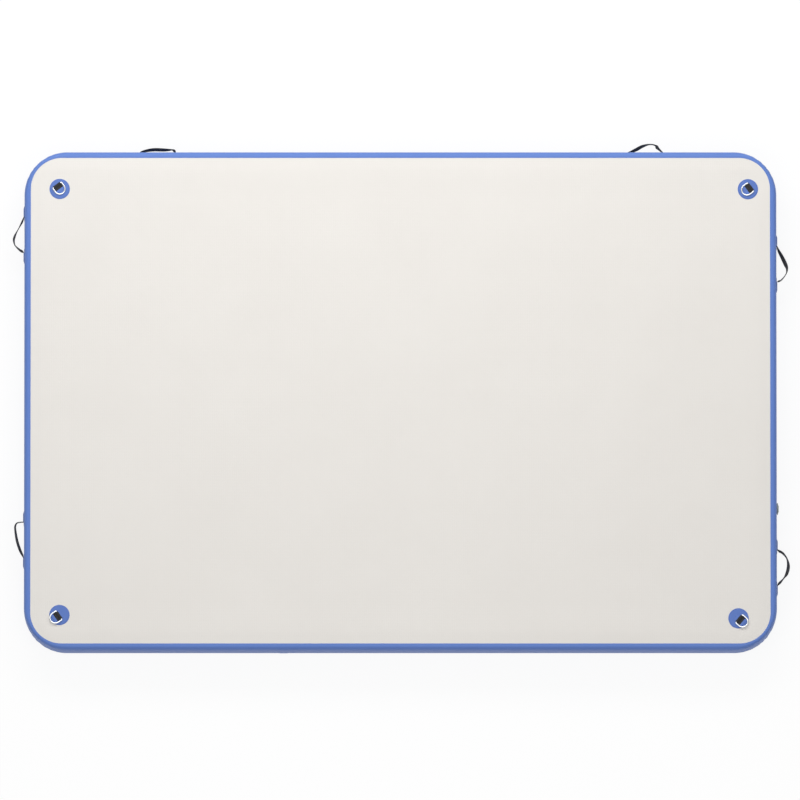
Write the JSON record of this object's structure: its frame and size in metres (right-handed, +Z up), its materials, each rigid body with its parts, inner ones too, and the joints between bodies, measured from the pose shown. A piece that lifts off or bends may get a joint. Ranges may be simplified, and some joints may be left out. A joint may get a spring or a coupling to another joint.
{
  "type": "inflatable floating mat",
  "caption": "Rectangular drop-stitch inflatable water mat with a pale deck, blue side band, deck D-rings, webbing side handles and a capped inflation valve.",
  "frame": {"origin": "middle of the flat underside, on the surface that the mat lies on", "axes": "+X along the long side towards the valve's wall, +Y towards the long side with the handles, +Z up through the deck"},
  "size_m": [3.0904, 2.0354, 0.1604],
  "materials": {
    "deck_vinyl": "satin",
    "blue_vinyl": "satin",
    "patch_vinyl": "satin",
    "woven_cloth": "matte",
    "yarn": "matte",
    "black_webbing": "matte",
    "ring_steel": "polished",
    "spring_steel": "satin",
    "valve_plastic": "satin",
    "seal_rubber": "matte",
    "tether_rubber": "matte"
  },
  "bodies": {
    "root": {"deck_panel": "deck_vinyl", "bottom_panel": "deck_vinyl", "upper_cloth": "woven_cloth", "lower_cloth": "woven_cloth", "drop_stitch_yarn": "yarn", "side_wall": "blue_vinyl", "top_seam_tape": "blue_vinyl", "bottom_seam_tape": "blue_vinyl", "valve_gasket": "seal_rubber", "valve_housing": "valve_plastic", "valve_nut": "valve_plastic", "valve_spring": "spring_steel", "back_left_ring_base": "patch_vinyl", "back_left_ring_cover": "patch_vinyl", "back_left_ring_webbing": "black_webbing", "back_right_ring_base": "patch_vinyl", "back_right_ring_cover": "patch_vinyl", "back_right_ring_webbing": "black_webbing", "front_left_ring_base": "patch_vinyl", "front_left_ring_cover": "patch_vinyl", "front_left_ring_webbing": "black_webbing", "front_right_ring_base": "patch_vinyl", "front_right_ring_cover": "patch_vinyl", "front_right_ring_webbing": "black_webbing", "left_back_handle_patch_a": "patch_vinyl", "left_back_handle_patch_b": "patch_vinyl", "left_front_handle_patch_a": "patch_vinyl", "left_front_handle_patch_b": "patch_vinyl", "right_back_handle_patch_a": "patch_vinyl", "right_back_handle_patch_b": "patch_vinyl", "right_front_handle_patch_a": "patch_vinyl", "right_front_handle_patch_b": "patch_vinyl", "back_left_handle_patch_a": "patch_vinyl", "back_left_handle_patch_b": "patch_vinyl", "back_right_handle_patch_a": "patch_vinyl", "back_right_handle_patch_b": "patch_vinyl"},
    "poppet": {"valve_poppet": "valve_plastic", "poppet_seal": "seal_rubber"},
    "cap_carrier": {"cap_tether": "tether_rubber"},
    "cap": {"valve_cap": "valve_plastic", "cap_seal": "seal_rubber"},
    "back_left_ring": {"back_left_d_ring": "ring_steel"},
    "back_right_ring": {"back_right_d_ring": "ring_steel"},
    "front_left_ring": {"front_left_d_ring": "ring_steel"},
    "front_right_ring": {"front_right_d_ring": "ring_steel"},
    "left_back_handle": {"left_back_handle_strap": "black_webbing"},
    "left_front_handle": {"left_front_handle_strap": "black_webbing"},
    "right_back_handle": {"right_back_handle_strap": "black_webbing"},
    "right_front_handle": {"right_front_handle_strap": "black_webbing"},
    "back_left_handle": {"back_left_handle_strap": "black_webbing"},
    "back_right_handle": {"back_right_handle_strap": "black_webbing"}
  },
  "joints": [
    {"name": "back_left_ring_swing", "type": "hinge", "parent": "root", "child": "back_left_ring", "pos_m": [-1.36964, 0.86332, 0.156], "axis": [-0.8028, -0.5962, 0], "range_deg": [0, 180]},
    {"name": "back_right_ring_swing", "type": "hinge", "parent": "root", "child": "back_right_ring", "pos_m": [1.39647, 0.85567, 0.156], "axis": [-0.5906, 0.807, 0], "range_deg": [0, 180]},
    {"name": "front_left_ring_swing", "type": "hinge", "parent": "root", "child": "front_left_ring", "pos_m": [-1.35947, -0.86138, 0.156], "axis": [-0.5736, 0.8192, 0], "range_deg": [0, 180]},
    {"name": "front_right_ring_swing", "type": "hinge", "parent": "root", "child": "front_right_ring", "pos_m": [1.34869, -0.8756, 0.156], "axis": [-0.6534, -0.757, 0], "range_deg": [0, 180]},
    {"name": "left_back_handle_swing", "type": "hinge", "parent": "root", "child": "left_back_handle", "pos_m": [-1.5142, 0.6725, 0.075], "axis": [0, 1, 0], "range_deg": [-85, 85]},
    {"name": "left_front_handle_swing", "type": "hinge", "parent": "root", "child": "left_front_handle", "pos_m": [-1.5142, -0.5525, 0.075], "axis": [0, 1, 0], "range_deg": [-85, 85]},
    {"name": "right_back_handle_swing", "type": "hinge", "parent": "root", "child": "right_back_handle", "pos_m": [1.5142, 0.556, 0.075], "axis": [0, -1, 0], "range_deg": [-85, 85]},
    {"name": "right_front_handle_swing", "type": "hinge", "parent": "root", "child": "right_front_handle", "pos_m": [1.5142, -0.6635, 0.075], "axis": [0, -1, 0], "range_deg": [-85, 85]},
    {"name": "back_left_handle_swing", "type": "hinge", "parent": "root", "child": "back_left_handle", "pos_m": [-0.969, 1.0142, 0.075], "axis": [1, 0, 0], "range_deg": [-85, 85]},
    {"name": "back_right_handle_swing", "type": "hinge", "parent": "root", "child": "back_right_handle", "pos_m": [0.97725, 1.0142, 0.075], "axis": [1, 0, 0], "range_deg": [-85, 85]},
    {"name": "poppet_press", "type": "slide", "parent": "root", "child": "poppet", "axis": [-1, 0, 0], "range_m": [0, 0.006], "stiffness_N_per_m": 300, "springref_m": -0.004, "deforming": ["valve_spring"]},
    {"name": "cap_pull", "type": "slide", "parent": "root", "child": "cap_carrier", "axis": [1, 0, 0], "range_m": [0, 0.012]},
    {"name": "cap_turn", "type": "hinge", "parent": "cap_carrier", "child": "cap", "pos_m": [1.5, -0.427, 0.075], "axis": [1, 0, 0], "range_deg": [0, 90]}
  ]
}
